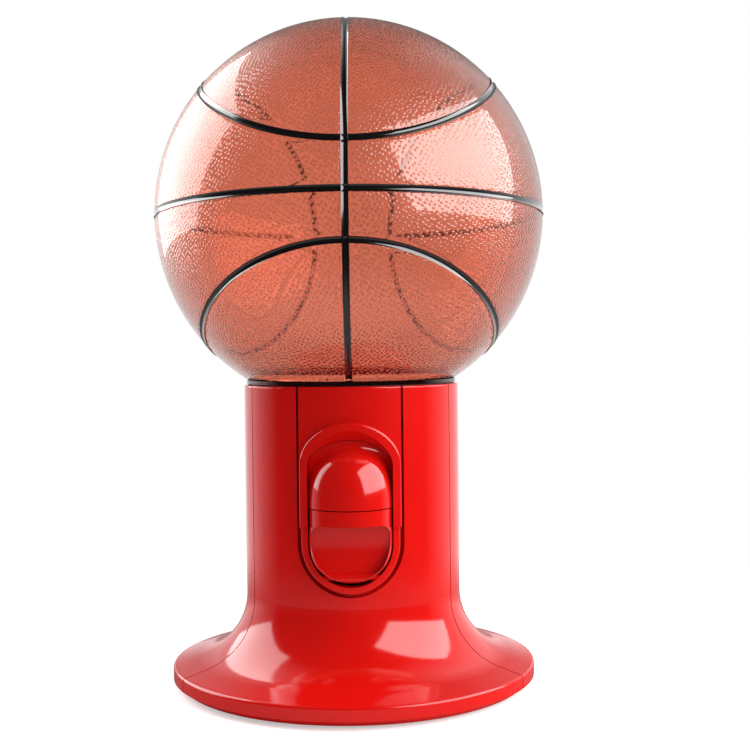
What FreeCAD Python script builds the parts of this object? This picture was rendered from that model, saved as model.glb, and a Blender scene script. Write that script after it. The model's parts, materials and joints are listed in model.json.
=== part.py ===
"""Ball-topped gumball machine: a clear ball globe on a flared red stand, with a tilt-out tray door.

Millimetres. +Z is up, the front faces -Y, and the origin is on the floor under the ball's centre.
"""
import FreeCAD
import Part
import math
import os

V = FreeCAD.Vector
X_AXIS = V(1, 0, 0)
Z_AXIS = V(0, 0, 1)
FULL_TURN = 360.0

# Globe
GLOBE_R = 76.5
GLOBE_WALL = 2.0
COLLAR_INSET = 0.9
COLLAR_T = 1.4
COLLAR_DROP = 0.6
NECK_INSET = 7.0
NECK_WALL = 2.0
NECK_DEPTH = 10.0
GROOVE_HALF_W = 1.5
GROOVE_DEPTH = 0.45

# Stand
BODY_TOP_Z = 118.0
COLUMN_R = 42.5
TOP_EDGE_R = 0.7
WALL = 2.2
FLARE_R = 26.0
RIM_R = 71.7
RIM_TOP_Z = 8.6
RIM_EDGE_R = 1.2
RIM_SLOPE = 15.0
SEAM_ANGLE = 63.0
SEAM_GAP = 0.6
LAP_W = 8.0
LAP_T = 1.3
FIT_GAP = 0.15
RUN_GAP = 0.5
LEDGE_T = 2.0
LEDGE_W = 3.6

# Bottom cover, feet and their screws
FOOT_H = 1.2
FOOT_R = 5.5
FOOT_RECESS = 0.8
FOOT_INSET = 16.7
FOOT_ANGLES = (45.0, 135.0, 225.0, 315.0)
COVER_T = 2.2
COVER_INSET = 1.1
COVER_BEVEL = 2.0
SPIGOT_H = 1.6
SPIGOT_T = 1.6
SCREW_R = 1.2
SCREW_HEAD_R = 2.4
SCREW_HEAD_T = 1.4
SCREW_LEN = 6.0
SCREW_SLOT_W = 0.7
SCREW_SLOT_DEPTH = 0.6
BOSS_R = 3.6
BOSS_INSET = 15.7
FRONT_BOSS_ANGLES = (-24.0, 24.0)
REAR_BOSS_ANGLES = (100.0, 180.0, 260.0)

# Front panel: a tongue that drops into a U slot of the front shell
TONGUE_HALF_W = 19.0
TOE_GAP = 1.1
SLOT_GAP = 0.8
RAIL_W = 3.0
RAIL_T = 1.6
RAIL_DROP = 16.0
BEZEL_HALF_W = 18.2
BEZEL_PROUD = 2.0
ARCH_HALF_W = 18.7
ARCH_RISE = 15.8
ARCH_SPRING_RISE = 15.4
ARCH_FOOT_DROP = 7.4
ARCH_PROUD = 3.4
ARCH_BAND = 2.7
ARCH_CHAMFER = 3.8
EDGE_ROUND = 0.8

# Outlet hood: the fixed dome over the tray, blended into a plate inside the arch
DOME_INSET = 6.9
DOME_R = 16.5
DOME_RISE = 22.0
DOME_POWER = 2.5
DOME_STEPS = 8
DOME_T = 1.6
SEAM_DROP = 44.4
HOOD_INSET = 1.2
HOOD_PLATE_T = 3.0
HOOD_FLANGE_T = 1.6
HOOD_FLANGE_W = 2.4
HOOD_BLEND_R = 4.0

# Tray door: tilts out about a pin at its toe
DOOR_HALF_W = 15.2
DOOR_R = 16.4
DOOR_T = 1.6
DOOR_TOP_GAP = 0.4
DOOR_ARC_DROP = 12.4
LIP_DROP = 6.0
TOE_PROUD = 1.0
DISH_INSET = 0.7
DISH_CORNER_R = 3.5
DISH_TOP_PROUD = 0.9
DISH_FLOOR_INSET = 0.9
PIN_INSET = 0.7
PIN_RISE = 1.7
PIN_R = 1.0
PIN_GAP = 0.05
PIN_HALF_LEN = 10.8
KNUCKLE_R = 2.1
KNUCKLE_HALF_W = 8.6

# Tray scoop: a trough behind the door, with a round back that shuts the chute as the door tilts
SCOOP_HALF_W = 13.0
SCOOP_T = 1.4
SCOOP_R = 24.0
SCOOP_TOP_DROP = 1.6
SCOOP_BACK_LOW = -12.0
SCOOP_BACK_HIGH = 48.0
SCOOP_SCREW_X = 9.0
SCOOP_SCREW_DROP = 4.6
SCOOP_SCREW_LEN = 4.5
SCOOP_BOSS_R = 2.3

# Chute and hopper
CHUTE_HALF_W = 14.2
CHUTE_WALL = 1.6
CHUTE_REAR_Y = 4.2
CHUTE_TOP_DROP = 3.0
CHUTE_MOUTH_DEG = 50.0
CHUTE_SLOPE = 29.0
MOUTH_GAP = 1.2
POST_X = 11.0
POST_Y = -5.0
POST_R = 3.6
RING_H = 12.0
SPOUT_R = 9.0
SPOUT_Y = -8.0
SPOUT_DROP = 23.0
SPOUT_LEN = 4.0
HOPPER_T = 1.6
CONE_TOP_DROP = 4.0
LUG_COUNT = 3
LUG_W = 8.0
LUG_H = 2.5
LUG_OUT = 2.0
LUG_GAP = 0.3
LUG_DROP = 8.0
TWIST_DEG = 30.0
SEAL_T = 0.5

# How far a cutting shape reaches past what it cuts
OVER = 1.0

# Worked out from the sizes above
COVER_BOTTOM_Z = FOOT_H
SHELL_BOTTOM_Z = COVER_BOTTOM_Z + COVER_T
COLLAR_R = COLUMN_R - COLLAR_INSET
COLLAR_BOTTOM_Z = BODY_TOP_Z + SEAL_T
COLLAR_JOIN_R = COLLAR_R - COLLAR_DROP
COLLAR_TOP_Z = COLLAR_BOTTOM_Z + COLLAR_T
NECK_R = COLUMN_R - NECK_INSET
GLOBE_Z = COLLAR_TOP_Z + math.sqrt(GLOBE_R ** 2 - COLLAR_JOIN_R ** 2)
COLUMN_INNER_R = COLUMN_R - WALL
RING_OUTER_R = COLUMN_INNER_R - FIT_GAP
RING_BORE_R = NECK_R + LUG_GAP
RING_BOTTOM_Z = BODY_TOP_Z - RING_H
SLOPE = math.radians(RIM_SLOPE)
COVER_R = RIM_R - COVER_INSET
FOOT_PITCH_R = RIM_R - FOOT_INSET
BOSS_PITCH_R = RIM_R - BOSS_INSET
SEAM_Z = BODY_TOP_Z - SEAM_DROP
ARCH_SPRING_Z = SEAM_Z + ARCH_SPRING_RISE
ARCH_FOOT_Z = SEAM_Z - ARCH_FOOT_DROP
RAIL_TOP_Z = BODY_TOP_Z - RAIL_DROP
DOME_Y = DOME_INSET - COLUMN_R
DOOR_ARC_Z = SEAM_Z - DOOR_ARC_DROP
TONGUE_ARC_Z = DOOR_ARC_Z - TOE_GAP
TOE_Z = DOOR_ARC_Z - DOOR_HALF_W
TOE_Y = -COLUMN_R - TOE_PROUD
LIP_Z = SEAM_Z - LIP_DROP
DISH_TOP_Y = -COLUMN_R - DISH_TOP_PROUD
DISH_FLOOR_Y = DISH_FLOOR_INSET - COLUMN_R
PIN_Y = PIN_INSET - COLUMN_R
PIN_Z = TOE_Z + PIN_RISE
SCOOP_TOP_Z = SEAM_Z - SCOOP_TOP_DROP
SCOOP_SCREW_Z = SEAM_Z - SCOOP_SCREW_DROP
SPOUT_TOP_Z = BODY_TOP_Z - SPOUT_DROP
CHUTE_TOP_Z = SPOUT_TOP_Z - CHUTE_TOP_DROP
DOOR_TOP_Z = SEAM_Z - DOOR_TOP_GAP
DOOR_FRONT_Y = DOME_Y - DOOR_R
DOOR_BACK_Y = -COLUMN_INNER_R
OPENING_HALF_W = DOOR_HALF_W + RUN_GAP
RAIL_INNER_R = COLUMN_INNER_R - RAIL_T
HOOD_FRONT_R = COLUMN_R - HOOD_INSET
HOOD_RISE = ARCH_RISE - ARCH_BAND - ARCH_CHAMFER
HOOD_FLANGE_R = RAIL_INNER_R - HOOD_FLANGE_T
CHUTE_FRONT_R = HOOD_FLANGE_R - FIT_GAP
CHUTE_TAN = math.tan(math.radians(CHUTE_SLOPE))
MOUTH_R = SCOOP_R + MOUTH_GAP
FAR = 3.0 * GLOBE_R


def polar(radius, angle_deg, z):
    """A point at an angle from the front, counted towards +X."""
    angle = math.radians(angle_deg)
    return V(radius * math.sin(angle), -radius * math.cos(angle), z)


def cylinder(radius, z0, z1, x=0.0, y=0.0):
    return Part.makeCylinder(radius, z1 - z0, V(x, y, z0))


def ring(outer, inner, z0, z1):
    return cylinder(outer, z0, z1).cut(cylinder(inner, z0, z1))


def cross_rod(radius, half_len):
    """A round rod along X on the tray door's pin."""
    return Part.makeCylinder(radius, 2.0 * half_len, V(-half_len, PIN_Y, PIN_Z), X_AXIS)


def box(x0, x1, y0, y1, z0, z1):
    return Part.makeBox(x1 - x0, y1 - y0, z1 - z0, V(x0, y0, z0))


def side_prism(points, x0, x1):
    """A prism along X from (y, z) points."""
    wire = Part.makePolygon([V(x0, y, z) for y, z in points + points[:1]])
    return Part.Face(wire).extrude(V(x1 - x0, 0, 0))


def joined(shapes):
    shape = shapes[0].fuse(shapes[1:]) if len(shapes) > 1 else shapes[0]
    return shape.removeSplitter()


def flare_points(inset):
    """Start, middle and end of the flare's arc, moved inwards by inset."""
    radius = FLARE_R + inset
    centre_r = COLUMN_R + FLARE_R
    run_end_r = centre_r - FLARE_R * math.sin(SLOPE)
    rise = (RIM_R - RIM_EDGE_R - run_end_r) * math.tan(SLOPE)
    centre_z = RIM_TOP_Z + rise + FLARE_R * math.cos(SLOPE)
    low = V(centre_r - radius * math.sin(SLOPE), 0, centre_z - radius * math.cos(SLOPE))
    half = math.radians(45.0 + RIM_SLOPE / 2.0)
    middle = V(centre_r - radius * math.sin(half), 0, centre_z - radius * math.cos(half))
    high = V(COLUMN_R - inset, 0, centre_z)
    return low, middle, high


def stand_solid(inset, bottom_z, top_z):
    """The stand's outline moved inwards by inset and turned into a solid."""
    low, middle, high = flare_points(inset)
    rim_r = RIM_R - inset
    edge_r = rim_r - RIM_EDGE_R if inset == 0 else rim_r
    edge_z = low.z - (edge_r - low.x) * math.tan(SLOPE)
    edges = [Part.LineSegment(V(0, 0, bottom_z), V(rim_r, 0, bottom_z))]
    if inset == 0:
        side_z = edge_z - RIM_EDGE_R
        bend = math.radians(45.0)
        corner = V(edge_r + RIM_EDGE_R * math.sin(bend), 0, side_z + RIM_EDGE_R * math.cos(bend))
        edges.append(Part.LineSegment(V(rim_r, 0, bottom_z), V(rim_r, 0, side_z)))
        edges.append(Part.Arc(V(rim_r, 0, side_z), corner, V(edge_r, 0, edge_z)))
    else:
        edges.append(Part.LineSegment(V(rim_r, 0, bottom_z), V(rim_r, 0, edge_z)))
    edges.append(Part.LineSegment(V(edge_r, 0, edge_z), low))
    edges.append(Part.Arc(low, middle, high))
    edges.append(Part.LineSegment(high, V(high.x, 0, top_z)))
    edges.append(Part.LineSegment(V(high.x, 0, top_z), V(0, 0, top_z)))
    edges.append(Part.LineSegment(V(0, 0, top_z), V(0, 0, bottom_z)))
    face = Part.Face(Part.Wire([edge.toShape() for edge in edges]))
    return face.revolve(V(0, 0, 0), Z_AXIS, FULL_TURN)


def stand_layer(outer_inset, inner_inset, bottom_z, top_z):
    inner = stand_solid(inner_inset, bottom_z - OVER, top_z + OVER)
    return stand_solid(outer_inset, bottom_z, top_z).cut(inner)


def sector(from_deg, to_deg, margin=0.0):
    """A wedge about Z between two angles from the front, each side moved in by margin."""
    span = math.radians(to_deg - from_deg)
    middle = math.radians((from_deg + to_deg) / 2.0)
    wedge = Part.makeCylinder(FAR, FAR, V(0, 0, -OVER), Z_AXIS, math.degrees(span))
    wedge.rotate(V(0, 0, 0), Z_AXIS, from_deg - 90.0)
    shift = margin / math.sin(min(span, math.pi) / 2.0)
    wedge.translate(V(shift * math.sin(middle), -shift * math.cos(middle), 0))
    return wedge


def tongue_wire(half_w, arc_z, top_z, y):
    """A U outline in an XZ plane: straight sides, a round bottom and a flat top."""
    right = Part.LineSegment(V(half_w, y, top_z), V(half_w, y, arc_z))
    round_end = Part.Arc(V(half_w, y, arc_z), V(0, y, arc_z - half_w), V(-half_w, y, arc_z))
    left = Part.LineSegment(V(-half_w, y, arc_z), V(-half_w, y, top_z))
    top = Part.LineSegment(V(-half_w, y, top_z), V(half_w, y, top_z))
    return Part.Wire([edge.toShape() for edge in (right, round_end, left, top)])


def tongue_prism(half_w, arc_z, top_z, y0=-FAR, y1=0.0):
    return Part.Face(tongue_wire(half_w, arc_z, top_z, y0)).extrude(V(0, y1 - y0, 0))


def arch_wire(half_w, rise, spring_z, foot_z, y):
    """An arch outline in an XZ plane: straight legs under half an ellipse."""
    crown = Part.Ellipse(V(0, y, spring_z), half_w, rise)
    crown.XAxis = X_AXIS
    crown.Axis = V(0, -1, 0)
    top = Part.ArcOfEllipse(crown, 0, math.pi)
    right, left = sorted((top.StartPoint, top.EndPoint), key=lambda point: -point.x)
    edges = [top, Part.LineSegment(left, V(-half_w, y, foot_z))]
    edges.append(Part.LineSegment(V(-half_w, y, foot_z), V(half_w, y, foot_z)))
    edges.append(Part.LineSegment(V(half_w, y, foot_z), right))
    return Part.Wire(Part.__sortEdges__([edge.toShape() for edge in edges]))


def make_globe():
    """A clear ball with sunk seam lines and a round hole for the neck ring."""
    ball = Part.makeSphere(GLOBE_R, V(0, 0, GLOBE_Z))
    hollow = Part.makeSphere(GLOBE_R - GLOBE_WALL, V(0, 0, GLOBE_Z))
    shell = ball.cut(hollow).cut(cylinder(FAR, 0, COLLAR_TOP_Z))
    groove = ring(GLOBE_R + OVER, GLOBE_R - GROOVE_DEPTH, -GROOVE_HALF_W, GROOVE_HALF_W)
    upright = groove.copy()
    upright.rotate(V(0, 0, 0), V(0, 1, 0), 90.0)
    for cutter in (groove, upright):
        cutter.translate(V(0, 0, GLOBE_Z))
        shell = shell.cut(cutter)
    return shell


def make_neck_ring():
    """The smooth collar under the ball, with a neck and twist-lock lugs."""
    neck_bottom_z = COLLAR_BOTTOM_Z - NECK_DEPTH
    collar = cylinder(COLLAR_R, COLLAR_BOTTOM_Z, COLLAR_TOP_Z)
    body = collar.fuse(cylinder(NECK_R, neck_bottom_z, COLLAR_BOTTOM_Z))
    body = body.cut(cylinder(NECK_R - NECK_WALL, neck_bottom_z - OVER, FAR))
    return joined([body] + [lug(index) for index in range(LUG_COUNT)])


def lug_band(half_angle, outer, inner, z0, z1, angle):
    return ring(outer, inner, z0, z1).common(sector(angle - half_angle, angle + half_angle))


def lug_half_angle():
    return math.degrees(LUG_W / 2.0 / NECK_R)


def lug(index):
    """One twist-lock lug on the neck."""
    z0 = COLLAR_BOTTOM_Z - LUG_DROP
    angle = index * FULL_TURN / LUG_COUNT
    return lug_band(lug_half_angle(), NECK_R + LUG_OUT, NECK_R - NECK_WALL / 2.0, z0, z0 + LUG_H, angle)


def lug_track(index):
    """The L-shaped track of one lug in the hopper's ring: a level slot and a way out at its end."""
    z0 = COLLAR_BOTTOM_Z - LUG_DROP - LUG_GAP
    outer = NECK_R + LUG_OUT + LUG_GAP
    half = lug_half_angle() + math.degrees(LUG_GAP / NECK_R)
    start = index * FULL_TURN / LUG_COUNT
    end = start + TWIST_DEG
    level = ring(outer, NECK_R, z0, z0 + LUG_H + 2.0 * LUG_GAP).common(sector(start - half, end + half))
    way_out = ring(outer, NECK_R, z0, BODY_TOP_Z + OVER).common(sector(end - half, end + half))
    return level.fuse(way_out)


def make_neck_seal():
    """A soft ring between the globe's collar and the stand."""
    inner = RING_BORE_R + LUG_OUT + LUG_GAP + FIT_GAP
    return ring(COLLAR_JOIN_R, inner, BODY_TOP_Z, COLLAR_BOTTOM_Z)


def make_hopper():
    """The funnel under the globe, with the ring that takes the globe's twist lock."""
    seat = ring(RING_OUTER_R, RING_BORE_R, RING_BOTTOM_Z, BODY_TOP_Z)
    seat = seat.cut(joined([lug_track(index) for index in range(LUG_COUNT)]))
    cone_top = RING_BOTTOM_Z + CONE_TOP_DROP
    outer = funnel(0.0, cone_top)
    inner = funnel(HOPPER_T, cone_top)
    floor_ring = ring(RING_OUTER_R, RING_BORE_R - HOPPER_T, RING_BOTTOM_Z, RING_BOTTOM_Z + HOPPER_T)
    return joined([seat, floor_ring, outer.cut(inner)]).cut(inner)


def funnel(inset, cone_top):
    """An off-centre cone with a round spout below it."""
    top_r = RING_BORE_R + HOPPER_T - inset
    top = Part.Wire(Part.makeCircle(top_r, V(0, 0, RING_BOTTOM_Z + HOPPER_T)))
    low = Part.Wire(Part.makeCircle(SPOUT_R - inset, V(0, SPOUT_Y, SPOUT_TOP_Z)))
    cone = Part.makeLoft([low, top], True, True)
    spout_end = SPOUT_TOP_Z - SPOUT_LEN - (OVER if inset else 0.0)
    spout = cylinder(SPOUT_R - inset, spout_end, SPOUT_TOP_Z, 0, SPOUT_Y)
    mouth = cylinder(top_r, RING_BOTTOM_Z + HOPPER_T, cone_top) if inset else None
    return joined([cone, spout] + ([mouth] if mouth else []))


def shell_boss(angle):
    """A screw boss under the flare."""
    spot = polar(BOSS_PITCH_R, angle, SHELL_BOTTOM_Z)
    boss = cylinder(BOSS_R, SHELL_BOTTOM_Z, RIM_TOP_Z + FLARE_R, spot.x, spot.y)
    boss = boss.common(stand_solid(WALL / 2.0, SHELL_BOTTOM_Z, BODY_TOP_Z))
    return boss.cut(cylinder(SCREW_R, SHELL_BOTTOM_Z, SHELL_BOTTOM_Z + SCREW_LEN, spot.x, spot.y))


def make_front_shell():
    """The front third of the stand, with the U slot that takes the front panel."""
    wall = stand_layer(0.0, WALL, SHELL_BOTTOM_Z, BODY_TOP_Z)
    shell = wall.common(sector(-SEAM_ANGLE, SEAM_ANGLE, SEAM_GAP / 2.0))
    shell = shell.cut(tongue_prism(TONGUE_HALF_W + SLOT_GAP, TONGUE_ARC_Z, FAR))
    return joined([rounded_top(shell)] + [shell_boss(angle) for angle in FRONT_BOSS_ANGLES])


def make_rear_shell():
    """The rest of the stand, with lap strips behind both seams and a ledge under the hopper."""
    rear_from, rear_to = SEAM_ANGLE, FULL_TURN - SEAM_ANGLE
    wall = stand_layer(0.0, WALL, SHELL_BOTTOM_Z, BODY_TOP_Z)
    shell = wall.common(sector(rear_from, rear_to, SEAM_GAP / 2.0))
    ledge_z = RING_BOTTOM_Z - LEDGE_T
    lap_half = math.degrees(LAP_W / 2.0 / COLUMN_R)
    lap_layer = stand_layer(WALL + FIT_GAP, WALL + LAP_T, SHELL_BOTTOM_Z + SPIGOT_H + FIT_GAP, ledge_z)
    root_layer = stand_layer(WALL / 2.0, WALL + LAP_T, SHELL_BOTTOM_Z + SPIGOT_H + FIT_GAP, ledge_z)
    laps = []
    for angle in (rear_from, rear_to):
        laps.append(lap_layer.common(sector(angle - lap_half, angle + lap_half)))
        inner = sector(rear_from, rear_to, SEAM_GAP / 2.0)
        laps.append(root_layer.common(sector(angle - lap_half, angle + lap_half)).common(inner))
    ledge = ring(COLUMN_R - WALL / 2.0, COLUMN_INNER_R - LEDGE_W, ledge_z, RING_BOTTOM_Z)
    ledge = ledge.common(sector(rear_from, rear_to, SEAM_GAP / 2.0))
    return joined([rounded_top(shell), ledge] + laps + [shell_boss(angle) for angle in REAR_BOSS_ANGLES])


def rounded_top(shape):
    """The shape with its outer edge at the stand's top rounded."""
    return shape.makeFillet(TOP_EDGE_R, [edge for edge in shape.Edges if is_top_edge(edge)])


def is_top_edge(edge):
    points = edge.discretize(5)
    on_face = all(abs(math.hypot(point.x, point.y) - COLUMN_R) < 1e-4 for point in points)
    return on_face and all(abs(point.z - BODY_TOP_Z) < 1e-4 for point in points)


def curved_plate(outer_r, inner_r, prism):
    return ring(outer_r, inner_r, SHELL_BOTTOM_Z, BODY_TOP_Z).common(prism)


def make_front_panel():
    """The tongue panel with its raised arch, its bezel and the opening for the hood and the door."""
    tongue = tongue_prism(BEZEL_HALF_W, TONGUE_ARC_Z, BODY_TOP_Z)
    tongue = joined([tongue, box(-TONGUE_HALF_W, TONGUE_HALF_W, -FAR, 0, ARCH_FOOT_Z, BODY_TOP_Z)])
    rails = tongue_prism(TONGUE_HALF_W + RAIL_W, TONGUE_ARC_Z, RAIL_TOP_Z)
    plate = curved_plate(COLUMN_R, RAIL_INNER_R + RAIL_T / 2.0, tongue)
    plate = plate.cut(cylinder(COLUMN_INNER_R, RAIL_TOP_Z, BODY_TOP_Z))
    plate = rounded_top(plate)
    flange = curved_plate(COLUMN_INNER_R - FIT_GAP, RAIL_INNER_R, rails)
    bezel = tongue_prism(BEZEL_HALF_W, TONGUE_ARC_Z, ARCH_SPRING_Z)
    bezel = curved_plate(COLUMN_R + BEZEL_PROUD, RAIL_INNER_R + RAIL_T / 2.0, bezel)
    arch = arch_prism(ARCH_HALF_W, ARCH_RISE, ARCH_FOOT_Z)
    arch = curved_plate(COLUMN_R + ARCH_PROUD, RAIL_INNER_R + RAIL_T / 2.0, arch)
    panel = joined([plate, flange, bezel, arch])
    panel = panel.makeFillet(EDGE_ROUND, [edge for edge in panel.Edges if is_proud_edge(edge)])
    panel = panel.cut(arch_recess()).cut(front_opening())
    return panel.cut(cross_rod(PIN_R, PIN_HALF_LEN))


def is_proud_edge(edge):
    """True for an outer edge of the arch's or the bezel's front face."""
    points = edge.discretize(5)
    radii = [math.hypot(point.x, point.y) for point in points]
    on_arch = all(abs(radius - COLUMN_R - ARCH_PROUD) < 1e-4 for radius in radii)
    on_bezel = all(abs(radius - COLUMN_R - BEZEL_PROUD) < 1e-4 for radius in radii)
    level_foot = all(abs(point.z - ARCH_FOOT_Z) < 1e-4 for point in points)
    return (on_arch and not level_foot) or (on_bezel and points[2].z < ARCH_FOOT_Z - 1e-4)


def arch_recess():
    """The chamfered hollow inside the arch, open to the front and down to the hood's plate."""
    front_y = -COLUMN_R - ARCH_PROUD
    front = arch_wire(OPENING_HALF_W, HOOD_RISE + ARCH_CHAMFER, ARCH_SPRING_Z, ARCH_FOOT_Z, front_y)
    floor = arch_wire(OPENING_HALF_W, HOOD_RISE, ARCH_SPRING_Z, ARCH_FOOT_Z, -HOOD_FRONT_R)
    ahead = Part.Face(front).extrude(V(0, -FAR, 0))
    return joined([Part.makeLoft([floor, front], True, True), ahead])


def arch_prism(half_w, rise, foot_z):
    """An arch outline run along Y through the front of the stand."""
    return Part.Face(arch_wire(half_w, rise, ARCH_SPRING_Z, foot_z, -FAR)).extrude(V(0, FAR, 0))


def front_opening():
    """The way through the panel: a U for the door, under an arch for the hood."""
    low = tongue_prism(OPENING_HALF_W, TONGUE_ARC_Z, SEAM_Z)
    return low.fuse(arch_prism(OPENING_HALF_W, HOOD_RISE, SEAM_Z - OVER))


def make_outlet_hood():
    """The dome over the tray, blended into its plate, with a flange behind the panel."""
    fit_w = OPENING_HALF_W - FIT_GAP
    prism = arch_prism(fit_w, HOOD_RISE - FIT_GAP, SEAM_Z)
    plate = curved_plate(HOOD_FRONT_R, HOOD_FLANGE_R, prism)
    front_half = box(-fit_w, fit_w, -FAR, -HOOD_FLANGE_R, SEAM_Z, FAR)
    dome = dome_solid(0.0).common(front_half)
    hood = joined([plate, dome])
    hood = hood.makeFillet(HOOD_BLEND_R, [edge for edge in hood.Edges if is_blend_edge(edge, dome)])
    flange_w = fit_w + HOOD_FLANGE_W
    flange = arch_prism(flange_w, HOOD_RISE + HOOD_FLANGE_W, SEAM_Z + HOOD_FLANGE_W)
    flange = curved_plate(RAIL_INNER_R, HOOD_FLANGE_R, flange)
    hollow_w = math.sqrt(DOME_R ** 2 - (HOOD_FRONT_R + DOME_Y) ** 2) - DOME_T
    hollow = dome_solid(DOME_T).fuse(cylinder(DOME_R - DOME_T, SEAM_Z - OVER, SEAM_Z, 0, DOME_Y))
    hollow = hollow.common(box(-hollow_w, hollow_w, -FAR, FAR, 0, FAR))
    return joined([hood, flange]).cut(hollow)


def dome_solid(inset):
    """A full-shouldered dome about an upright axis, moved inwards by inset."""
    wide, high = DOME_R - inset, DOME_RISE - inset
    centre = V(0, DOME_Y, SEAM_Z)
    outline = Part.BSplineCurve()
    points = [centre + dome_point(wide, high, step / DOME_STEPS) for step in range(DOME_STEPS + 1)]
    outline.interpolate(Points=points, InitialTangent=Z_AXIS, FinalTangent=V(-1, 0, 0))
    edges = [Part.makeLine(centre, points[0]), outline.toShape(), Part.makeLine(points[-1], centre)]
    return Part.Face(Part.Wire(edges)).revolve(centre, Z_AXIS, FULL_TURN)


def dome_point(wide, high, share):
    """A point of the dome's outline, from its foot at share 0 to its top at share 1."""
    turn = share * math.pi / 2.0
    return V(wide * abs(math.cos(turn)) ** (2.0 / DOME_POWER), 0, high * math.sin(turn) ** (2.0 / DOME_POWER))


def is_blend_edge(edge, dome):
    """True for the line where the dome meets the plate's front."""
    points = edge.discretize(5)
    skins = [face for face in dome.Faces if not isinstance(face.Surface, Part.Plane)]
    on_dome = all(skins[0].distToShape(Part.Vertex(point))[0] < 1e-3 for point in points)
    on_plate = all(abs(math.hypot(point.x, point.y) - HOOD_FRONT_R) < 1e-4 for point in points)
    return on_dome and on_plate


def dish_axis():
    """Centre and radius of the finger dish's floor, an arc from under the lip to the toe."""
    toe_z = TOE_Z + DISH_INSET
    under_lip = V(0, DISH_TOP_Y, LIP_Z)
    deepest = V(0, DISH_FLOOR_Y, (LIP_Z + toe_z) / 2.0)
    floor = Part.Circle(under_lip, deepest, V(0, TOE_Y, toe_z))
    return floor.Center, floor.Radius


def dish_cylinder(extra):
    centre, radius = dish_axis()
    return Part.makeCylinder(radius + extra, 2.0 * FAR, V(-FAR, centre.y, centre.z), X_AXIS)


def door_body(inset):
    """The door's outside, moved inwards by inset: a round-front tongue that slopes back to its toe."""
    outline = tongue_prism(DOOR_HALF_W - inset, DOOR_ARC_Z, DOOR_TOP_Z - inset, -FAR, DOOR_BACK_Y)
    round_front = cylinder(DOOR_R - inset, 0, FAR, 0, DOME_Y)
    front_y, toe_y = DOOR_FRONT_Y + inset, TOE_Y + inset
    slope = [(front_y, FAR), (front_y, LIP_Z), (toe_y, TOE_Z)]
    slope += [(toe_y, -OVER), (FAR, -OVER), (FAR, FAR)]
    return outline.common(round_front).common(side_prism(slope, -FAR, FAR))


def dish_pocket():
    """The finger dish: a round-cornered pocket with a hollow floor."""
    outline = tongue_prism(DOOR_HALF_W - DISH_INSET, DOOR_ARC_Z, LIP_Z, -FAR, 0.0)
    corners = [edge for edge in outline.Edges if is_top_corner(edge)]
    return outline.makeFillet(DISH_CORNER_R, corners).common(dish_cylinder(0.0))


def is_top_corner(edge):
    ends = [vertex.Point for vertex in edge.Vertexes]
    runs_in_y = len(ends) == 2 and abs(ends[0].y - ends[1].y) > 1.0
    return runs_in_y and all(abs(end.z - LIP_Z) < 1e-6 for end in ends)


def scoop_screw_spots():
    return [V(-SCOOP_SCREW_X, DOOR_BACK_Y, SCOOP_SCREW_Z), V(SCOOP_SCREW_X, DOOR_BACK_Y, SCOOP_SCREW_Z)]


def forward_rod(radius, spot, y0, y1):
    """A round rod along Y through a spot."""
    return Part.makeCylinder(radius, y1 - y0, V(spot.x, y0, spot.z), V(0, 1, 0))


def make_tray_door():
    """The door with its finger lip and dish, a knuckle on the pin, and two screw bosses."""
    hollow = door_body(DOOR_T).cut(dish_cylinder(DOOR_T))
    door = door_body(0.0).cut(dish_pocket()).cut(hollow)
    bosses = [forward_rod(SCOOP_BOSS_R, spot, -FAR, DOOR_BACK_Y) for spot in scoop_screw_spots()]
    bosses = [boss.common(door_body(DOOR_T / 2.0)).cut(dish_cylinder(DOOR_T / 2.0)) for boss in bosses]
    low = box(-FAR, FAR, -FAR, 0, 0, PIN_Z).cut(cross_rod(KNUCKLE_R, FAR))
    outline = tongue_prism(DOOR_HALF_W, DOOR_ARC_Z, DOOR_TOP_Z)
    knuckle = cross_rod(KNUCKLE_R, KNUCKLE_HALF_W).common(outline)
    door = joined([door.cut(low), knuckle] + bosses)
    for spot in scoop_screw_spots():
        door = door.cut(forward_rod(SCREW_R, spot, DOOR_BACK_Y - SCOOP_SCREW_LEN, DOOR_BACK_Y))
    return door.cut(cross_rod(PIN_R + PIN_GAP, FAR))


def tray_wedge(from_deg, to_deg):
    """A wedge about the pin, from the rear upwards."""
    wedge = Part.makeCylinder(FAR, 2.0 * FAR, V(-FAR, 0, 0), X_AXIS, to_deg - from_deg)
    middle = Part.makeCylinder(1.0, 1.0, V(0, 0, 0), X_AXIS, to_deg - from_deg).CenterOfMass
    turn = (from_deg + to_deg) / 2.0 - math.degrees(math.atan2(middle.z, middle.y))
    wedge.rotate(V(0, 0, 0), X_AXIS, turn)
    wedge.translate(V(0, PIN_Y, PIN_Z))
    return wedge


def make_tray_scoop():
    """A trough on the door's back, with a round back wall about the pin."""
    plate_y = DOOR_BACK_Y + SCOOP_T
    outline = tongue_prism(SCOOP_HALF_W, DOOR_ARC_Z, SCOOP_TOP_Z, DOOR_BACK_Y, 0.0)
    outline = outline.common(cross_rod(SCOOP_R, FAR))
    inside = tongue_prism(SCOOP_HALF_W - SCOOP_T, DOOR_ARC_Z, FAR, plate_y, 0.0)
    back = outline.cut(cross_rod(SCOOP_R - SCOOP_T, FAR))
    back = back.common(tray_wedge(SCOOP_BACK_LOW, SCOOP_BACK_HIGH))
    scoop = joined([outline.cut(inside), back])
    scoop = scoop.cut(cross_rod(KNUCKLE_R + FIT_GAP, FAR))
    for spot in scoop_screw_spots():
        scoop = scoop.cut(forward_rod(SCREW_R + FIT_GAP, spot, DOOR_BACK_Y - OVER, plate_y + OVER))
    return scoop


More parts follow.
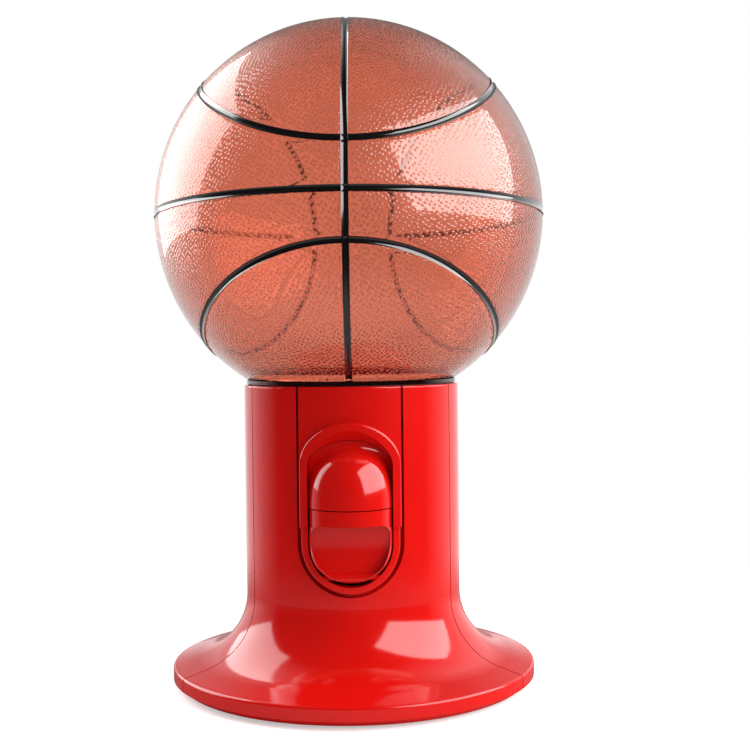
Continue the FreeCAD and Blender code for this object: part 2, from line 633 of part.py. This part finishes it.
def scoop_screw(spot):
    """A pan screw from the scoop's inside into the door's boss, with a slot across its head."""
    plate_y = DOOR_BACK_Y + SCOOP_T
    tip = DOOR_BACK_Y - SCOOP_SCREW_LEN + FIT_GAP
    head = forward_rod(SCREW_HEAD_R, spot, plate_y, plate_y + SCREW_HEAD_T)
    body = joined([head, forward_rod(SCREW_R, spot, tip, plate_y + SCREW_HEAD_T)])
    half, top_y = SCREW_SLOT_W / 2.0, plate_y + SCREW_HEAD_T
    return body.cut(box(-FAR, FAR, top_y - SCREW_SLOT_DEPTH, FAR, spot.z - half, spot.z + half))


def make_hinge_pin():
    return cross_rod(PIN_R, PIN_HALF_LEN)


def chute_floor_z(y):
    """Height of the chute's floor, which ends at the edge of the mouth round the pin."""
    mouth = math.radians(CHUTE_MOUTH_DEG)
    edge_y, edge_z = PIN_Y + MOUTH_R * math.cos(mouth), PIN_Z + MOUTH_R * math.sin(mouth)
    return edge_z + (y - edge_y) * CHUTE_TAN


def make_chute_frame():
    """The slanted chute from the hopper to the tray, on two posts."""
    outer_w = CHUTE_HALF_W + CHUTE_WALL
    under = CHUTE_WALL / math.cos(math.radians(CHUTE_SLOPE))
    front_y, rear_y = -CHUTE_FRONT_R, CHUTE_REAR_Y
    low = [(front_y, chute_floor_z(front_y) - under), (rear_y, chute_floor_z(rear_y) - under)]
    body = side_prism(low + [(rear_y, CHUTE_TOP_Z), (front_y, CHUTE_TOP_Z)], -outer_w, outer_w)
    inner_rear = rear_y - CHUTE_WALL
    inside = [(-FAR, chute_floor_z(-FAR)), (inner_rear, chute_floor_z(inner_rear))]
    body = body.cut(side_prism(inside + [(inner_rear, FAR), (-FAR, FAR)], -CHUTE_HALF_W, CHUTE_HALF_W))
    body = body.common(cylinder(CHUTE_FRONT_R, 0, FAR)).cut(cross_rod(MOUTH_R, FAR))
    body = joined([body] + [chute_post(x, under) for x in (-POST_X, POST_X)])
    for x in (-POST_X, POST_X):
        body = body.cut(cylinder(SCREW_R, SHELL_BOTTOM_Z, SHELL_BOTTOM_Z + SCREW_LEN, x, POST_Y))
    return body


def chute_post(x, under):
    """A post from the bottom cover to the underside of the chute's floor."""
    post = cylinder(POST_R, SHELL_BOTTOM_Z, BODY_TOP_Z, x, POST_Y)
    above = [(y, chute_floor_z(y) - under / 2.0) for y in (-FAR, FAR)]
    return post.cut(side_prism(above + [(FAR, 2.0 * FAR), (-FAR, 2.0 * FAR)], -FAR, FAR))


def screw_spots():
    """Where the cover's screws go: shell bosses first, then the chute's posts."""
    shell_spots = [polar(BOSS_PITCH_R, angle, 0) for angle in FRONT_BOSS_ANGLES + REAR_BOSS_ANGLES]
    return shell_spots, [V(-POST_X, POST_Y, 0), V(POST_X, POST_Y, 0)]


def make_bottom_cover():
    """The round cover with a bevelled edge, a locating ring, foot recesses and screw holes."""
    top_z = SHELL_BOTTOM_Z
    slab = Part.makeCone(COVER_R - COVER_BEVEL, COVER_R, COVER_T, V(0, 0, COVER_BOTTOM_Z))
    spigot_r = RIM_R - WALL - FIT_GAP
    cover = joined([slab, ring(spigot_r, spigot_r - SPIGOT_T, top_z - COVER_T / 4.0, top_z + SPIGOT_H)])
    for angle in FOOT_ANGLES:
        spot = polar(FOOT_PITCH_R, angle, 0)
        recess_z = COVER_BOTTOM_Z + FOOT_RECESS
        cover = cover.cut(cylinder(FOOT_R, COVER_BOTTOM_Z - OVER, recess_z, spot.x, spot.y))
    shell_spots, post_spots = screw_spots()
    for spot in shell_spots + post_spots:
        cover = cover.cut(cylinder(SCREW_R + FIT_GAP, 0, top_z + OVER, spot.x, spot.y))
        head_top = COVER_BOTTOM_Z + SCREW_HEAD_T
        cover = cover.cut(cylinder(SCREW_HEAD_R + FIT_GAP, 0, head_top, spot.x, spot.y))
    return cover


def screw(spot):
    """A pan screw from below, with a slot across its head."""
    head_top = COVER_BOTTOM_Z + SCREW_HEAD_T
    tip = SHELL_BOTTOM_Z + SCREW_LEN - OVER
    body = cylinder(SCREW_HEAD_R, COVER_BOTTOM_Z + FIT_GAP, head_top, spot.x, spot.y)
    body = body.fuse(cylinder(SCREW_R, COVER_BOTTOM_Z + FIT_GAP, tip, spot.x, spot.y)).removeSplitter()
    low = COVER_BOTTOM_Z + FIT_GAP
    half = SCREW_SLOT_W / 2.0
    slot = box(spot.x - FAR, spot.x + FAR, spot.y - half, spot.y + half, low - OVER, low + SCREW_SLOT_DEPTH)
    return body.cut(slot)


def make_foot(angle):
    """A rubber pad with a rounded lower edge."""
    spot = polar(FOOT_PITCH_R, angle, 0)
    pad = cylinder(FOOT_R, 0, COVER_BOTTOM_Z + FOOT_RECESS, spot.x, spot.y)
    lowest = [edge for edge in pad.Edges if abs(edge.BoundBox.ZMax) < 1e-6]
    return pad.makeFillet(FOOT_H / 2.0, lowest)


def save(name, shape):
    shape.exportStep(os.path.join("parts", name + ".step"))
    solids = len(shape.Solids)
    print(f"{name}: {solids} solid(s), {shape.Volume / 1000.0:.2f} cm3, valid {shape.isValid()}")


def main():
    os.makedirs("parts", exist_ok=True)
    shell_spots, post_spots = screw_spots()
    save("globe", make_globe())
    save("neck_ring", make_neck_ring())
    save("neck_seal", make_neck_seal())
    save("hopper", make_hopper())
    save("front_shell", make_front_shell())
    save("rear_shell", make_rear_shell())
    save("front_panel", make_front_panel())
    save("outlet_hood", make_outlet_hood())
    save("chute_frame", make_chute_frame())
    save("bottom_cover", make_bottom_cover())
    save("tray_door", make_tray_door())
    save("tray_scoop", make_tray_scoop())
    save("scoop_screws", Part.makeCompound([scoop_screw(spot) for spot in scoop_screw_spots()]))
    save("hinge_pin", make_hinge_pin())
    save("shell_screws", Part.makeCompound([screw(spot) for spot in shell_spots]))
    save("chute_screws", Part.makeCompound([screw(spot) for spot in post_spots]))
    for index, angle in enumerate(FOOT_ANGLES, start=1):
        save(f"foot_{index}", make_foot(angle))


main()
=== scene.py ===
"""Looks of the ball-topped gumball machine: red gloss mouldings under a pebbled, tinted see-through ball."""

import json
import math

import bpy
from mathutils import Matrix, Vector


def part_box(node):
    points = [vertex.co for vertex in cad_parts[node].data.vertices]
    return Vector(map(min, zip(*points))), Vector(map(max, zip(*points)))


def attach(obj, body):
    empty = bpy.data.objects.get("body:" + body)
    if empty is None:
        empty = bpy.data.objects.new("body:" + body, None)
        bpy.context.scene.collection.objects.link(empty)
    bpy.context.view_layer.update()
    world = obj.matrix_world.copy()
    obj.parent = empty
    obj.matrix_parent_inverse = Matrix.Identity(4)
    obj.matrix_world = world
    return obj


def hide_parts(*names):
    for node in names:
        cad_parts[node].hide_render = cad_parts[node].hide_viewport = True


MM = 0.001

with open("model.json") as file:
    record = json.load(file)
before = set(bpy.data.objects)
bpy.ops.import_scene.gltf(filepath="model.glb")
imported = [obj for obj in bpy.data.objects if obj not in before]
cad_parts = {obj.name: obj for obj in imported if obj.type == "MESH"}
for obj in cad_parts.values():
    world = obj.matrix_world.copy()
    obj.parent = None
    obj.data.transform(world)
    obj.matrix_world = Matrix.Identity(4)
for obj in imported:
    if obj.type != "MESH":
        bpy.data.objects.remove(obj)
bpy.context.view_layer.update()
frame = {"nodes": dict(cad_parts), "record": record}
nodes = frame["nodes"]

# Ball, measured on its CAD node
globe_low, globe_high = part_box("globe")
BALL_R = (globe_high.x - globe_low.x) / 2
BALL_CENTRE = Vector((0.0, 0.0, globe_high.z - BALL_R))
BALL_WALL = 2.0 * MM
BALL_CUT_Z = globe_low.z
BALL_COLUMNS = 400
BALL_ROWS = 168
GROOVE_REACH = 1.65 * MM
GROOVE_DEPTH = 0.45 * MM
SEAM_HALF_W = 1.25 * MM
SEAM_LIP = 0.25 * MM
SEAM_DIP = 1.0 * MM
SEAM_POINTS = 720
SEAM_LOBE = 0.225
SEAM_TILT = Matrix.Rotation(math.radians(-1.3), 3, "X")
PEBBLE_SPACING = 1.75 * MM
PEBBLE_HEIGHT = 0.085 * MM
PEBBLE_TURN = math.radians(33)
# Pebble tops deeper and valleys paler: partly the wall's own tint, partly painted shade and painted light for the
# grain
PEBBLE_TINT_AND_SHADE = "#d99c84"
VALLEY_TINT_AND_LIGHT = "#f0bfad"
SEAM_LIFT = 0.06 * MM
SEAM_STOP = BALL_CUT_Z + 0.4 * MM

# Camera, from the photograph's outline
CAMERA_AT = Vector((9.56, -492.06, 132.73)) * MM
CAMERA_LENS = 59.06
CAMERA_PITCH = 0.0234
CAMERA_ROLL = -0.0111

# Stage, in metres and in shares of full white
FLOOR_HALF = 0.5
FLOOR_FADE_FROM = 0.16
FLOOR_FADE_TO = 0.34
FLOOR_WHITE = 0.9
FLOOR_GLOW = 0.45
FLOOR_SHEEN = 0.25
FILL_LEVEL = 0.3
CAMERA_SIDE_LEVEL = 0.03
CEILING_LEVEL = 0.2
LAMP_DISTANCE = 0.75
LAMP_TARGET = Vector((0.0, 0.0, 0.14))
LAMP_RISE = 25


def linear(hex_colour):
    """An sRGB hex colour as linear RGBA."""
    channels = [int(hex_colour[i:i + 2], 16) / 255 for i in (1, 3, 5)]
    return tuple(c / 12.92 if c <= 0.04045 else ((c + 0.055) / 1.055) ** 2.4 for c in channels) + (1.0,)


def add_node(tree, kind, settings=None, **links):
    """Adds a node, sets its properties and plain inputs, and links the rest. Input names use _ for a space."""
    node = tree.nodes.new(kind)
    for name, value in (settings or {}).items():
        setattr(node, name, value)
    for name, value in links.items():
        key = int(name[1:]) if name[0] == "i" and name[1:].isdigit() else name.replace("_", " ")
        if isinstance(value, bpy.types.NodeSocket):
            tree.links.new(value, node.inputs[key])
        else:
            node.inputs[key].default_value = value
    return node


def map_range(tree, value, from_range, to_range, curve="LINEAR"):
    """A node that carries one range of values over to another."""
    node = add_node(tree, "ShaderNodeMapRange", {"interpolation_type": curve}, Value=value)
    names = ("From Min", "From Max", "To Min", "To Max")
    for name, limit in zip(names, (*from_range, *to_range)):
        node.inputs[name].default_value = limit
    return node.outputs[0]


def new_material(name):
    material = bpy.data.materials.new(name)
    material.use_nodes = True
    tree = material.node_tree
    tree.nodes.clear()
    return material, tree


def output(tree, shader):
    add_node(tree, "ShaderNodeOutputMaterial", Surface=shader.outputs[0])


def object_point(tree):
    return add_node(tree, "ShaderNodeTexCoord").outputs["Object"]


def moulded_abs(name, colour, roughness, wave_mm, wave_depth):
    """Injection-moulded ABS: even colour, sharp gloss, and a faint waviness that bends long reflections."""
    material, tree = new_material(name)
    point = object_point(tree)
    waves = add_node(tree, "ShaderNodeTexNoise", Vector=point, Scale=1 / (wave_mm * MM), Detail=1.0)
    flow = add_node(tree, "ShaderNodeTexNoise", Vector=point, Scale=1 / (22 * MM), Detail=2.0)
    gloss = map_range(tree, flow.outputs[0], (0, 1), (roughness * 0.85, roughness * 1.2))
    shade = map_range(tree, flow.outputs[0], (0, 1), (0.96, 1.04))
    tone = add_node(tree, "ShaderNodeHueSaturation", Color=linear(colour), Value=shade)
    bump = add_node(tree, "ShaderNodeBump", Height=waves.outputs[0], Strength=1.0, Distance=wave_depth * MM)
    shader = add_node(tree, "ShaderNodeBsdfPrincipled", Base_Color=tone.outputs[0], Roughness=gloss,
                      Normal=bump.outputs[0], IOR=1.58)
    output(tree, shader)
    return material


def tinted_clear(name, surface, depth_mm, roughness):
    """Tinted clear polystyrene: strong side reflections, a wall that deepens in colour edge on, a light shadow."""
    material, tree = new_material(name)
    shader = add_node(tree, "ShaderNodeBsdfPrincipled", Base_Color=linear(surface), Roughness=roughness, IOR=1.72,
                      Transmission_Weight=1.0)
    clear = add_node(tree, "ShaderNodeBsdfTransparent", Color=linear(surface))
    shadow = add_node(tree, "ShaderNodeLightPath").outputs["Is Shadow Ray"]
    mixed = add_node(tree, "ShaderNodeMixShader", i0=shadow, i1=shader.outputs[0], i2=clear.outputs[0])
    tint = add_node(tree, "ShaderNodeVolumeAbsorption", Color=linear(surface), Density=1 / (depth_mm * MM))
    add_node(tree, "ShaderNodeOutputMaterial", Surface=mixed.outputs[0], Volume=tint.outputs[0])
    return material, tree, shader


def pebbled(tree, shader):
    """Small round bumps that give a fine grain and break up lines seen through the ball. Their tops are tinted deeper
    and the valleys paler: partly the thicker wall's own tint, partly painted shade and painted light that make the
    grain show all over the ball.
    """
    place = add_node(tree, "ShaderNodeUVMap", {"uv_map": "pebbles"}).outputs[0]
    turned = add_node(tree, "ShaderNodeVectorRotate", {"rotation_type": "Z_AXIS"}, Vector=place, Angle=PEBBLE_TURN)
    cells = add_node(tree, "ShaderNodeTexVoronoi", {"voronoi_dimensions": "2D"}, Vector=turned.outputs[0],
                     Scale=1 / PEBBLE_SPACING, Randomness=0.5)
    dome = map_range(tree, cells.outputs["Distance"], (0.06, 0.4), (1, 0), "SMOOTHSTEP")
    bump = add_node(tree, "ShaderNodeBump", Height=dome, Strength=1.0, Distance=PEBBLE_HEIGHT)
    tree.links.new(bump.outputs[0], shader.inputs["Normal"])
    # painted shade on the pebble tops and painted light in the valleys, over the wall's own tint
    tint = add_node(tree, "ShaderNodeMix", {"data_type": "RGBA"}, i0=dome, i6=linear(VALLEY_TINT_AND_LIGHT),
                    i7=linear(PEBBLE_TINT_AND_SHADE))
    tree.links.new(tint.outputs[2], shader.inputs["Base Color"])


def seam_paint():
    """Black gloss paint laid in the ball's sunk lines, a little uneven where it was wiped."""
    material, tree = new_material("black_gloss_paint")
    wipe = add_node(tree, "ShaderNodeTexNoise", Vector=object_point(tree), Scale=1 / (3 * MM), Detail=3.0)
    gloss = map_range(tree, wipe.outputs[0], (0, 1), (0.08, 0.22))
    shader = add_node(tree, "ShaderNodeBsdfPrincipled", Base_Color=linear("#120f0f"), Roughness=gloss,
                      IOR=1.6, Coat_Weight=1.0, Coat_Roughness=0.05)
    output(tree, shader)
    return material


def moulded_rubber():
    """Black moulded rubber: matt, with a fine grain."""
    material, tree = new_material("moulded_rubber")
    grain = add_node(tree, "ShaderNodeTexNoise", Vector=object_point(tree), Scale=1 / (0.6 * MM), Detail=2.0)
    bump = add_node(tree, "ShaderNodeBump", Height=grain.outputs[0], Strength=0.5, Distance=0.05 * MM)
    shader = add_node(tree, "ShaderNodeBsdfPrincipled", Base_Color=linear("#1c1b1b"), Roughness=0.75,
                      Normal=bump.outputs[0])
    output(tree, shader)
    return material


def zinc_steel():
    """Zinc-plated steel: pale grey metal with a cloudy sheen."""
    material, tree = new_material("zinc_plated_steel")
    cloud = add_node(tree, "ShaderNodeTexNoise", Vector=object_point(tree), Scale=1 / (1.5 * MM), Detail=3.0)
    gloss = map_range(tree, cloud.outputs[0], (0, 1), (0.25, 0.45))
    shader = add_node(tree, "ShaderNodeBsdfPrincipled", Base_Color=linear("#b9bcc0"), Metallic=1.0,
                      Roughness=gloss)
    output(tree, shader)
    return material


def ball_rows(radius, rows, cut_z):
    """Polar angles from the top of the ball down to the neck."""
    last = math.acos((cut_z - BALL_CENTRE.z) / radius)
    return [last * row / rows for row in range(1, rows + 1)]


def seam_offset(direction):
    """How far, along the surface, a point on the ball lies from the nearest seam line."""
    direction = SEAM_TILT.transposed() @ direction
    u, depth, v = direction.x, -direction.y, direction.z
    wide = math.sqrt(1 - SEAM_LOBE ** 2)
    a, b = (1 + SEAM_LOBE) / 2, (1 - SEAM_LOBE) / 2
    low, high = (a * a - 2 * a * b - 3 * b * b) / wide, 4 * b * b / wide ** 3
    curve = v * v - u * u - low * depth - high * depth ** 3
    slope = Vector((-2 * u, low + 3 * high * depth ** 2, 2 * v))
    slope -= direction * slope.dot(direction)
    return min(abs(u), abs(v), abs(curve) / max(slope.length, 1e-3)) * BALL_R


def groove(offset):
    """Depth of the round-bottomed groove at a distance from a seam line."""
    return GROOVE_DEPTH * math.cos(offset / GROOVE_REACH * math.pi / 2) if offset < GROOVE_REACH else 0.0


def pebble_places(face, verts):
    """Coordinates along the ball's surface for one face, so that the pebbles keep one size all over."""
    ways = [verts[corner] - BALL_CENTRE for corner in face]
    middle = sum(ways, Vector())
    axis = max(range(3), key=lambda i: abs(middle[i]))
    across, up = [i for i in range(3) if i != axis]
    places = []
    for way in ways:
        places += [BALL_R * math.atan2(way[across], abs(way[axis])), BALL_R * math.atan2(way[up], abs(way[axis]))]
    return places


def ball_mesh():
    """The ball's outer skin with its sunk seam lines, its inner skin, and the flat rim between them at the neck."""
    verts, faces, places = [], [], []

    def skin(radius, columns, rows, grooved, flip):
        first = len(verts)
        verts.append(BALL_CENTRE + Vector((0, 0, radius)))
        for angle in ball_rows(radius, rows, BALL_CUT_Z):
            for column in range(columns):
                turn = 2 * math.pi * column / columns
                way = Vector((math.sin(angle) * math.sin(turn), -math.sin(angle) * math.cos(turn), math.cos(angle)))
                depth = groove(seam_offset(way)) if grooved else 0.0
                verts.append(BALL_CENTRE + way * (radius - depth))
        for column in range(columns):
            right = (column + 1) % columns
            add_face([first, first + 1 + column, first + 1 + right], flip, grooved)
            for row in range(rows - 1):
                top, low = first + 1 + row * columns, first + 1 + (row + 1) * columns
                add_face([top + column, low + column, low + right, top + right], flip, grooved)
        return list(range(len(verts) - columns, len(verts)))

    def add_face(corners, flip, outer):
        faces.append(corners[::-1] if flip else corners)
        places.extend(pebble_places(faces[-1], verts) if outer else [0.0] * 2 * len(corners))

    outer = skin(BALL_R, BALL_COLUMNS, BALL_ROWS, True, False)
    inner = skin(BALL_R - BALL_WALL, BALL_COLUMNS, BALL_ROWS // 6, False, True)
    for column in range(BALL_COLUMNS):
        right = (column + 1) % BALL_COLUMNS
        add_face([outer[column], inner[column], inner[right], outer[right]], False, False)
    mesh = bpy.data.meshes.new("ball_shell")
    mesh.from_pydata(verts, [], faces)
    mesh.uv_layers.new(name="pebbles").data.foreach_set("uv", places)
    mesh.shade_smooth()
    mesh.update()
    return mesh


def link(name, data):
    obj = bpy.data.objects.new(name, data)
    bpy.context.scene.collection.objects.link(obj)
    return obj


def seam_point(turn):
    """A point of the closed seam that waves above and below at the front, left and right at the back."""
    a, b = (1 + SEAM_LOBE) / 2, (1 - SEAM_LOBE) / 2
    x = a * math.cos(turn) + b * math.cos(3 * turn)
    y = a * math.sin(turn) - b * math.sin(3 * turn)
    depth = 2 * math.sqrt(a * b) * math.sin(2 * turn)
    return Vector(((x - y) / math.sqrt(2), -depth, (x + y) / math.sqrt(2)))


def seam_tree(material):
    """Sweeps a shallow trough along a seam line, square to the ball."""
    tree = bpy.data.node_groups.new("seam_sweep", "GeometryNodeTree")
    tree.interface.new_socket("Geometry", in_out="INPUT", socket_type="NodeSocketGeometry")
    for name in ("Half width", "Lip", "Dip"):
        tree.interface.new_socket(name, in_out="INPUT", socket_type="NodeSocketFloat")
    tree.interface.new_socket("Geometry", in_out="OUTPUT", socket_type="NodeSocketGeometry")
    given = tree.nodes.new("NodeGroupInput").outputs
    place = add_node(tree, "GeometryNodeInputPosition")
    out = add_node(tree, "ShaderNodeVectorMath", {"operation": "SUBTRACT"}, i0=place.outputs[0], i1=BALL_CENTRE)
    facing = add_node(tree, "GeometryNodeSetCurveNormal", {"mode": "FREE"}, Curve=given["Geometry"],
                      Normal=out.outputs[0])
    minus = add_node(tree, "ShaderNodeMath", {"operation": "MULTIPLY"}, i0=given["Half width"], i1=-1.0)
    sink = add_node(tree, "ShaderNodeMath", {"operation": "MULTIPLY"}, i0=given["Dip"], i1=-1.0)
    left = add_node(tree, "ShaderNodeCombineXYZ", X=given["Lip"], Y=minus.outputs[0])
    low = add_node(tree, "ShaderNodeCombineXYZ", X=sink.outputs[0])
    right = add_node(tree, "ShaderNodeCombineXYZ", X=given["Lip"], Y=given["Half width"])
    trough = add_node(tree, "GeometryNodeCurveQuadraticBezier", Resolution=10, Start=left.outputs[0],
                      Middle=low.outputs[0], End=right.outputs[0])
    swept = add_node(tree, "GeometryNodeCurveToMesh", Curve=facing.outputs[0], Profile_Curve=trough.outputs[0])
    whole = add_node(tree, "GeometryNodeRealizeInstances", Geometry=swept.outputs[0])
    painted = add_node(tree, "GeometryNodeSetMaterial", Geometry=whole.outputs[0], Material=material)
    result = tree.nodes.new("NodeGroupOutput")
    tree.links.new(painted.outputs[0], result.inputs[0])
    return tree


def seam_lines(material):
    """The painted lines: an upright ring, a level ring and the waving seam, as one mesh."""
    data = bpy.data.curves.new("seam_paths", "CURVE")
    data.dimensions = "3D"
    full = 2 * math.pi
    rings = {
        "upright": lambda turn: Vector((0, math.sin(turn), math.cos(turn))),
        "level": lambda turn: Vector((math.sin(turn), math.cos(turn), 0)),
        "waving": seam_point,
    }
    for path in rings.values():
        ways = [SEAM_TILT @ path(full * i / SEAM_POINTS) for i in range(SEAM_POINTS)]
        points = [BALL_CENTRE + way * (BALL_R + SEAM_LIFT) for way in ways]
        kept = [point for point in points if point.z > SEAM_STOP]
        closed = len(kept) == len(points)
        if not closed:
            start = next(i for i in range(SEAM_POINTS) if points[i - 1].z <= SEAM_STOP < points[i].z)
            kept = [points[(start + i) % SEAM_POINTS] for i in range(len(kept))]
        spline = data.splines.new("POLY")
        spline.points.add(len(kept) - 1)
        for target, point in zip(spline.points, kept):
            target.co = (*point, 1.0)
        spline.use_cyclic_u = closed
    path_object = link("seam_paths", data)
    tree = seam_tree(material)
    modifier = path_object.modifiers.new("sweep", "NODES")
    modifier.node_group = tree
    sizes = {"Half width": SEAM_HALF_W, "Lip": SEAM_LIP, "Dip": SEAM_DIP}
    for item in tree.interface.items_tree:
        if item.in_out == "INPUT" and item.name in sizes:
            modifier[item.identifier] = sizes[item.name]
    depsgraph = bpy.context.evaluated_depsgraph_get()
    mesh = bpy.data.meshes.new_from_object(path_object.evaluated_get(depsgraph))
    mesh.shade_smooth()
    bpy.data.objects.remove(path_object)
    return link("seam_lines", mesh)


RED = moulded_abs("gloss_red_abs", "#cd100b", 0.11, 9.0, 0.03)
INNER_RED = moulded_abs("satin_red_abs", "#b8140f", 0.35, 4.0, 0.05)
BALL, ball_tree, ball_shader = tinted_clear("pebbled_tinted_polystyrene", "#ecb8a5", 4.0, 0.02)
pebbled(ball_tree, ball_shader)
# Darker than the ball: partly the ring's own smoky tint, partly painted shade for the dark interior seen through it
NECK_TINT_AND_SHADE = tinted_clear("smooth_tinted_polystyrene_and_painted_shade", "#a86a5c", 6.0, 0.02)[0]
PAINT = seam_paint()
RUBBER = moulded_rubber()
STEEL = zinc_steel()
SLOT_MATERIALS = {
    "red_plastic": RED, "inner_plastic": INNER_RED, "tinted_neck": NECK_TINT_AND_SHADE, "seal_rubber": RUBBER,
    "foot_rubber": RUBBER, "steel": STEEL, "tinted_ball": BALL,
}

for part in frame["record"]["subparts"]:
    data = nodes[part["node"]].data
    data.materials.clear()
    data.materials.append(SLOT_MATERIALS[part["material_slot"]])

ball = link("ball_shell", ball_mesh())
ball.data.materials.append(BALL)
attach(ball, "ball")
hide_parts("globe")
lines = seam_lines(PAINT)
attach(lines, "ball")


def white_floor():
    """A pale floor that keeps the object's shadow, shows little in its gloss and fades into the white behind it."""
    material, tree = new_material("white_sweep")
    diffuse = add_node(tree, "ShaderNodeBsdfDiffuse", Color=(FLOOR_WHITE, FLOOR_WHITE, FLOOR_WHITE, 1))
    glow = add_node(tree, "ShaderNodeEmission", Color=(1, 1, 1, 1), Strength=FLOOR_GLOW)
    path = add_node(tree, "ShaderNodeLightPath").outputs
    seen = add_node(tree, "ShaderNodeMath", {"operation": "MAXIMUM"}, i0=path["Is Camera Ray"],
                    i1=path["Is Transmission Ray"])
    dim = add_node(tree, "ShaderNodeBsdfDiffuse", Color=(FLOOR_SHEEN, FLOOR_SHEEN, FLOOR_SHEEN, 1))
    lit = add_node(tree, "ShaderNodeMixShader", i0=path["Is Glossy Ray"], i1=diffuse.outputs[0], i2=dim.outputs[0])
    both = add_node(tree, "ShaderNodeAddShader", i0=diffuse.outputs[0], i1=glow.outputs[0])
    near = add_node(tree, "ShaderNodeMixShader", i0=seen.outputs[0], i1=lit.outputs[0], i2=both.outputs[0])
    reach = add_node(tree, "ShaderNodeVectorMath", {"operation": "LENGTH"}, i0=object_point(tree))
    fade = map_range(tree, reach.outputs["Value"], (FLOOR_FADE_FROM, FLOOR_FADE_TO), (0, 1), "SMOOTHSTEP")
    beyond = add_node(tree, "ShaderNodeBsdfTransparent", Color=(1, 1, 1, 1))
    output(tree, add_node(tree, "ShaderNodeMixShader", i0=fade, i1=near.outputs[0], i2=beyond.outputs[0]))
    half = FLOOR_HALF
    mesh = bpy.data.meshes.new("floor")
    mesh.from_pydata([(-half, -half, 0), (half, -half, 0), (half, half, 0), (-half, half, 0)], [], [(0, 1, 2, 3)])
    mesh.materials.append(material)
    return link("floor", mesh)


def soft_world():
    """White behind the object and through it, dim overhead and on the camera's side, a mild fill elsewhere."""
    world = bpy.data.worlds.new("studio")
    bpy.context.scene.world = world
    world.use_nodes = True
    tree = world.node_tree
    tree.nodes.clear()
    path = add_node(tree, "ShaderNodeLightPath").outputs
    way = add_node(tree, "ShaderNodeTexCoord").outputs["Generated"]
    parts = add_node(tree, "ShaderNodeSeparateXYZ", Vector=way)
    rear = map_range(tree, parts.outputs["Y"], (-0.1, 0.6), (CAMERA_SIDE_LEVEL, 1))
    ceiling = map_range(tree, parts.outputs["Z"], (0.03, 0.35), (1, CEILING_LEVEL))
    aside = add_node(tree, "ShaderNodeMath", {"operation": "ABSOLUTE"}, i0=parts.outputs["X"])
    open_side = map_range(tree, aside.outputs[0], (0.15, 0.4), (0, 1))
    above = add_node(tree, "ShaderNodeMath", {"operation": "MAXIMUM"}, i0=ceiling, i1=open_side)
    room = add_node(tree, "ShaderNodeMath", {"operation": "MULTIPLY"}, i0=rear, i1=above.outputs[0])
    seen = add_node(tree, "ShaderNodeMath", {"operation": "MAXIMUM"}, i0=path["Is Camera Ray"],
                    i1=path["Is Transmission Ray"])
    glossy = add_node(tree, "ShaderNodeMix", {"data_type": "FLOAT"}, i0=path["Is Glossy Ray"], i2=FILL_LEVEL,
                      i3=room.outputs[0])
    level = add_node(tree, "ShaderNodeMix", {"data_type": "FLOAT"}, i0=seen.outputs[0], i2=glossy.outputs[0], i3=1.0)
    back = add_node(tree, "ShaderNodeBackground", Color=(1, 1, 1, 1), Strength=level.outputs[0])
    add_node(tree, "ShaderNodeOutputWorld", Surface=back.outputs[0])


def softbox(name, azimuth, width, height, power):
    """A rectangular lamp round the object, aimed at its middle."""
    lamp = bpy.data.lights.new(name, "AREA")
    lamp.shape = "RECTANGLE"
    lamp.size, lamp.size_y = width, height
    lamp.energy = power
    turn, rise = math.radians(azimuth), math.radians(LAMP_RISE)
    away = Vector((math.sin(turn) * math.cos(rise), -math.cos(turn) * math.cos(rise), math.sin(rise)))
    obj = link(name, lamp)
    obj.location = LAMP_TARGET + away * LAMP_DISTANCE
    obj.rotation_mode = "QUATERNION"
    obj.rotation_quaternion = away.to_track_quat("Z", "Y")
    return obj


def photo_camera():
    camera = bpy.data.cameras.new("camera")
    camera.sensor_width = 36.0
    camera.lens = CAMERA_LENS
    camera.clip_start = 0.01
    obj = link("camera", camera)
    level = Matrix.Rotation(math.pi / 2 - CAMERA_PITCH, 4, "X") @ Matrix.Rotation(CAMERA_ROLL, 4, "Z")
    obj.matrix_world = Matrix.Translation(CAMERA_AT) @ level
    bpy.context.scene.camera = obj


floor = white_floor()
soft_world()
softbox("right_softbox", 70, 1.12, 0.66, 11.5)
softbox("left_softbox", -116, 0.75, 0.7, 6.2)
photo_camera()
bpy.context.scene.view_settings.view_transform = "Standard"
